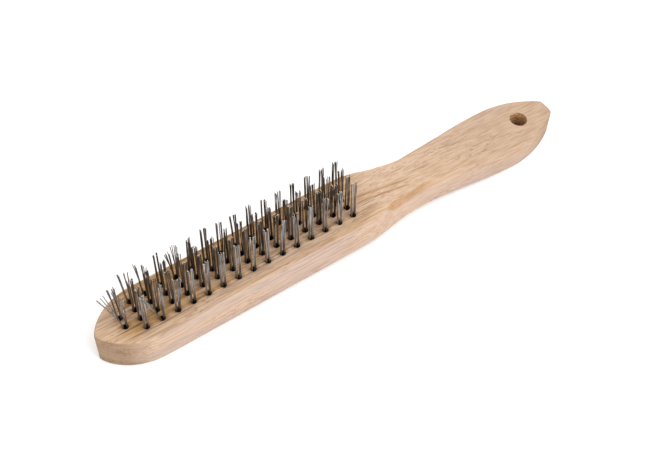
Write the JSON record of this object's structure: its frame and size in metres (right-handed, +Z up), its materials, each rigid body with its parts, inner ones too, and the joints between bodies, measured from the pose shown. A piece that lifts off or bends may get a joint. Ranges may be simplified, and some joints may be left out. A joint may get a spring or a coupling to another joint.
{
  "type": "wire scratch brush",
  "caption": "Wooden hand scratch brush: straight block with a round nose, rows of hairpin steel wire tufts and a waisted handle with a hanging hole.",
  "frame": {"origin": "below the middle of the brush's length and width, on the surface that it lies on with its wires up, touching that surface with its nose and its handle's end", "axes": "+X along the brush from the round nose to the handle's tip, +Y across it, +Z up, from the brush's back towards the wire tips. The head's back leans 1.13 degrees from level, because the handle is bent away from the wires."},
  "size_m": [0.289, 0.0336, 0.0514],
  "materials": {
    "beech": "bare, planed and sanded",
    "steel_wire": "bright drawn wire, slightly dull"
  },
  "bodies": {
    "root": {"wooden_block": "beech", "tufts_a01_a02": "steel_wire", "tuft_a03": "steel_wire", "tuft_a04": "steel_wire", "tuft_a05": "steel_wire", "tuft_a06": "steel_wire", "tuft_a07": "steel_wire", "tuft_a08": "steel_wire", "tuft_a09": "steel_wire", "tuft_a10": "steel_wire", "tuft_a11": "steel_wire", "tuft_a12": "steel_wire", "tuft_a13": "steel_wire", "tuft_a14": "steel_wire", "tuft_a15": "steel_wire", "tufts_b00_c00": "steel_wire", "tuft_b01": "steel_wire", "tuft_b02": "steel_wire", "tuft_b03": "steel_wire", "tuft_b04": "steel_wire", "tuft_b05": "steel_wire", "tuft_b06": "steel_wire", "tuft_b07": "steel_wire", "tuft_b08": "steel_wire", "tuft_b09": "steel_wire", "tuft_b10": "steel_wire", "tuft_b11": "steel_wire", "tuft_b12": "steel_wire", "tuft_b13": "steel_wire", "tuft_b14": "steel_wire", "tuft_b15": "steel_wire", "tuft_c01": "steel_wire", "tuft_c02": "steel_wire", "tuft_c03": "steel_wire", "tuft_c04": "steel_wire", "tuft_c05": "steel_wire", "tuft_c06": "steel_wire", "tuft_c07": "steel_wire", "tufts_c08_d08": "steel_wire", "tuft_c09": "steel_wire", "tuft_c10": "steel_wire", "tuft_c11": "steel_wire", "tuft_c12": "steel_wire", "tuft_c13": "steel_wire", "tuft_c14": "steel_wire", "tuft_c15": "steel_wire", "tuft_d01": "steel_wire", "tuft_d02": "steel_wire", "tuft_d03": "steel_wire", "tuft_d04": "steel_wire", "tuft_d05": "steel_wire", "tuft_d06": "steel_wire", "tuft_d07": "steel_wire", "tuft_d09": "steel_wire", "tuft_d10": "steel_wire", "tuft_d11": "steel_wire", "tuft_d12": "steel_wire", "tuft_d13": "steel_wire", "tuft_d14": "steel_wire", "tuft_d15": "steel_wire"}
  },
  "joints": []
}
